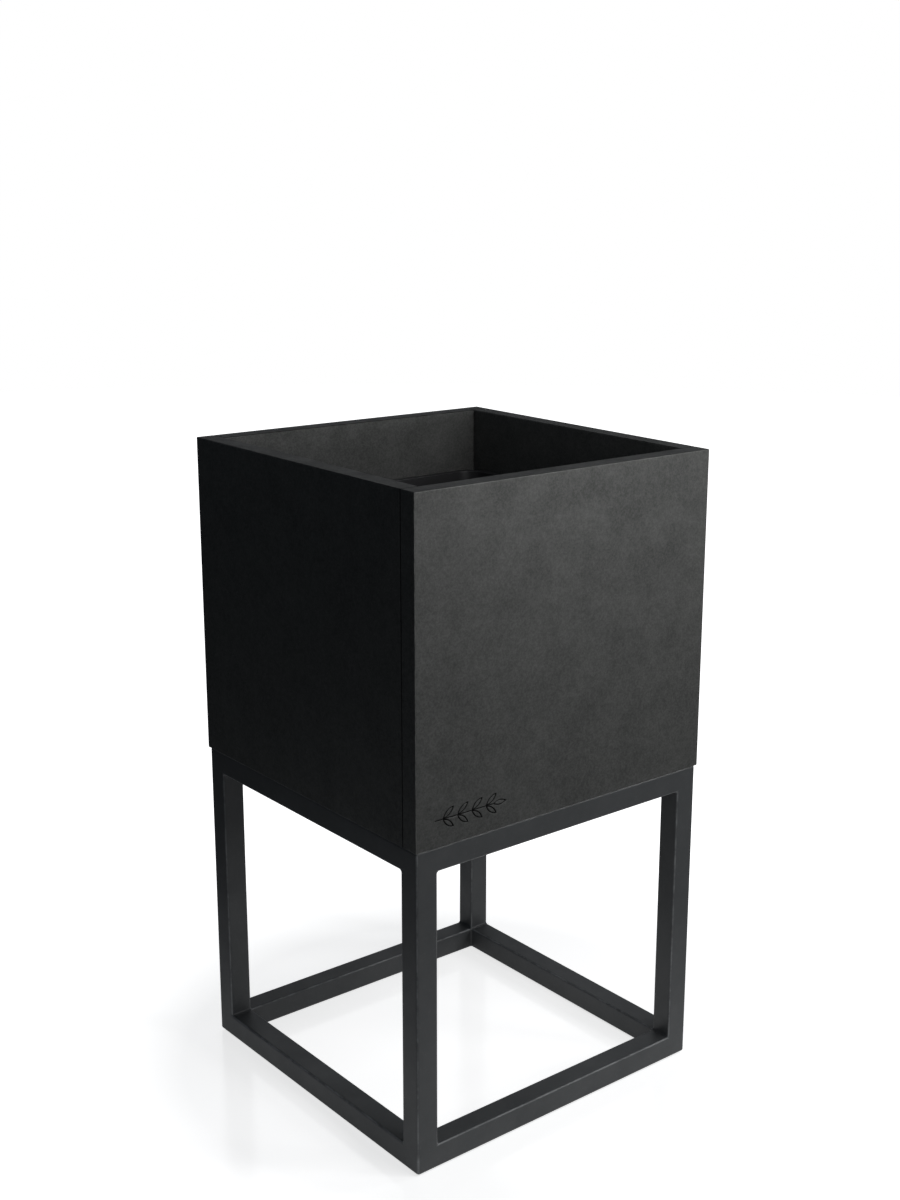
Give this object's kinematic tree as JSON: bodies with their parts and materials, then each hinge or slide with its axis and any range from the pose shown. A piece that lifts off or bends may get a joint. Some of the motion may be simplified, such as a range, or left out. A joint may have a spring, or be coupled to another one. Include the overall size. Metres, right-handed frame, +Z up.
{
  "type": "raised planter on legs",
  "caption": "Square open-topped planter box of black board on a welded square-tube steel stand with open sides, with a plastic liner that lifts out.",
  "frame": {"origin": "on the floor, under the middle of the square footprint", "axes": "+Z up along the height; the engraved front face looks along -Y, so the viewer's left is -X and right is +X"},
  "size_m": [0.33, 0.33, 0.6],
  "materials": {
    "black_powder_coat": "fine-textured matt black powder coat",
    "black_board": "dyed-through black fibreboard, sanded and matt oiled, faintly mottled",
    "liner_plastic": "moulded black polypropylene, satin",
    "zinc_screw": "bright zinc plated",
    "dowel_beech": "plain turned beech",
    "pad_rubber": "matt black rubber"
  },
  "bodies": {
    "planter": {"bottom_rail_front": "black_powder_coat", "bottom_rail_back": "black_powder_coat", "bottom_rail_left": "black_powder_coat", "bottom_rail_right": "black_powder_coat", "top_rail_front": "black_powder_coat", "top_rail_back": "black_powder_coat", "top_rail_left": "black_powder_coat", "top_rail_right": "black_powder_coat", "leg_front_left": "black_powder_coat", "leg_front_right": "black_powder_coat", "leg_back_left": "black_powder_coat", "leg_back_right": "black_powder_coat", "tab_front_left": "black_powder_coat", "tab_front_right": "black_powder_coat", "tab_back_left": "black_powder_coat", "tab_back_right": "black_powder_coat", "pad_front_left": "pad_rubber", "pad_front_right": "pad_rubber", "pad_back_left": "pad_rubber", "pad_back_right": "pad_rubber", "front_panel": "black_board", "back_panel": "black_board", "left_panel": "black_board", "right_panel": "black_board", "bottom_panel": "black_board", "front_dowels": "dowel_beech", "back_dowels": "dowel_beech", "bottom_dowels": "dowel_beech", "box_screws": "zinc_screw"},
    "liner": {"liner": "liner_plastic"}
  },
  "joints": [
    {"name": "liner_lift", "type": "slide", "parent": "planter", "child": "liner", "axis": [0, 0, 1], "range_m": [0, 0.3]}
  ]
}
